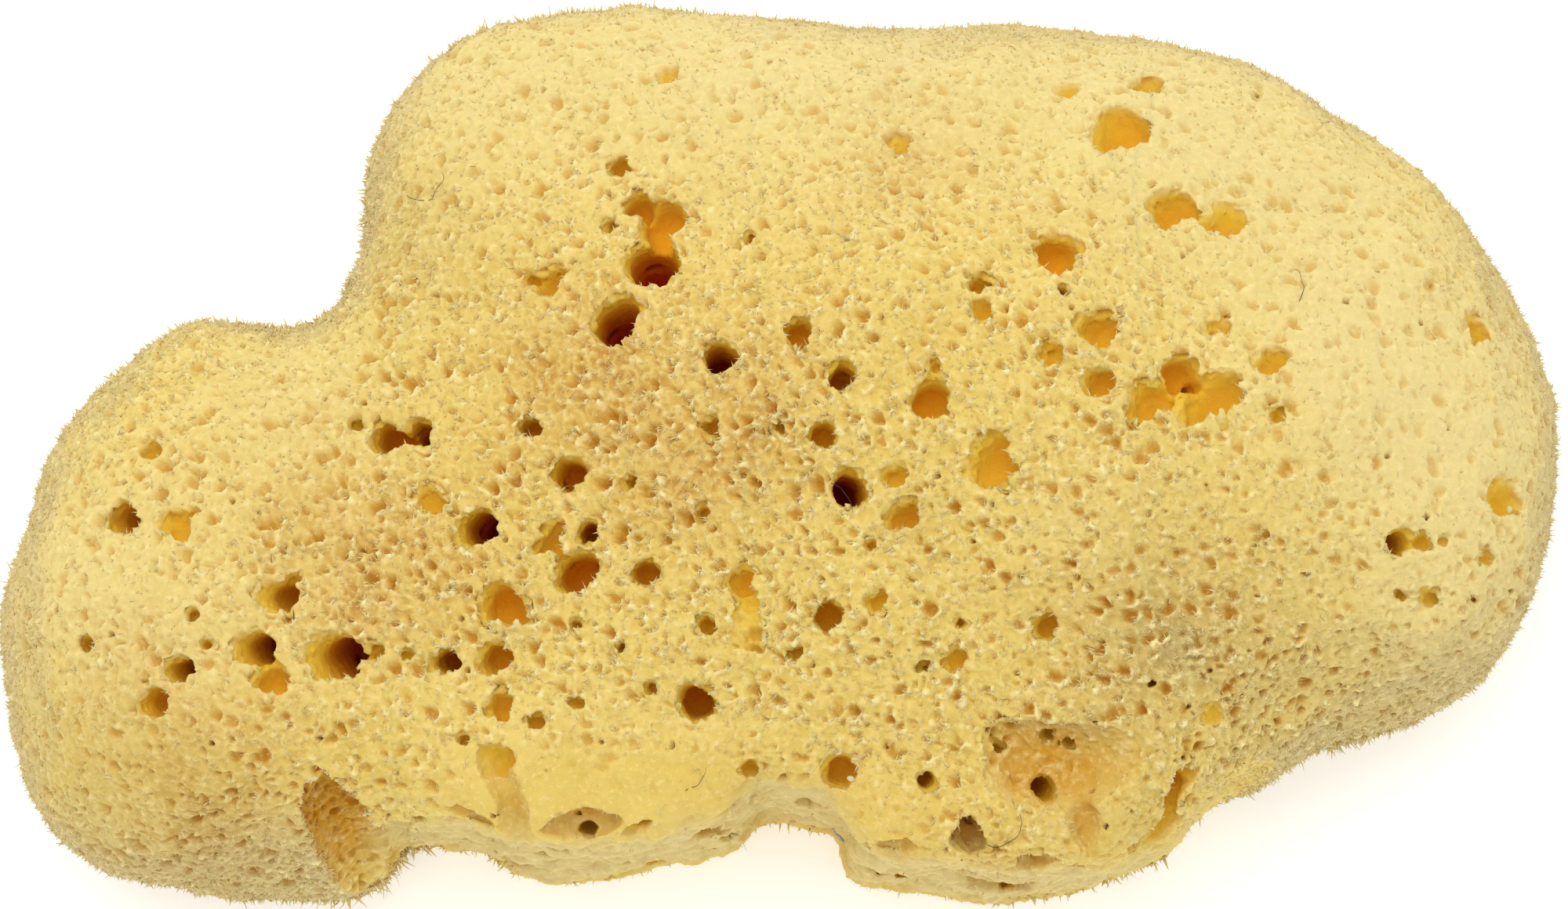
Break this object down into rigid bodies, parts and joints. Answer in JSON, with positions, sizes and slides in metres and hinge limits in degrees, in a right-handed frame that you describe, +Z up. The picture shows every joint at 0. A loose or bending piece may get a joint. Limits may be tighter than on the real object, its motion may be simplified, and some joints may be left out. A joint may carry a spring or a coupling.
{
  "type": "sea sponge",
  "caption": "Natural bath sponge grown as one piece: a lobed, domed cushion full of round channels and fine pores, with one knife-cut wall and a flat cut base.",
  "frame": {"origin": "middle of the flat cut base", "axes": "+X runs along the sponge's length, +Z up out of the base towards the open mouths, -Y towards the knife-cut wall"},
  "size_m": [0.1426, 0.0833, 0.0433],
  "materials": {
    "sponge": "matte"
  },
  "bodies": {
    "root": {"sponge": "sponge"}
  },
  "joints": []
}
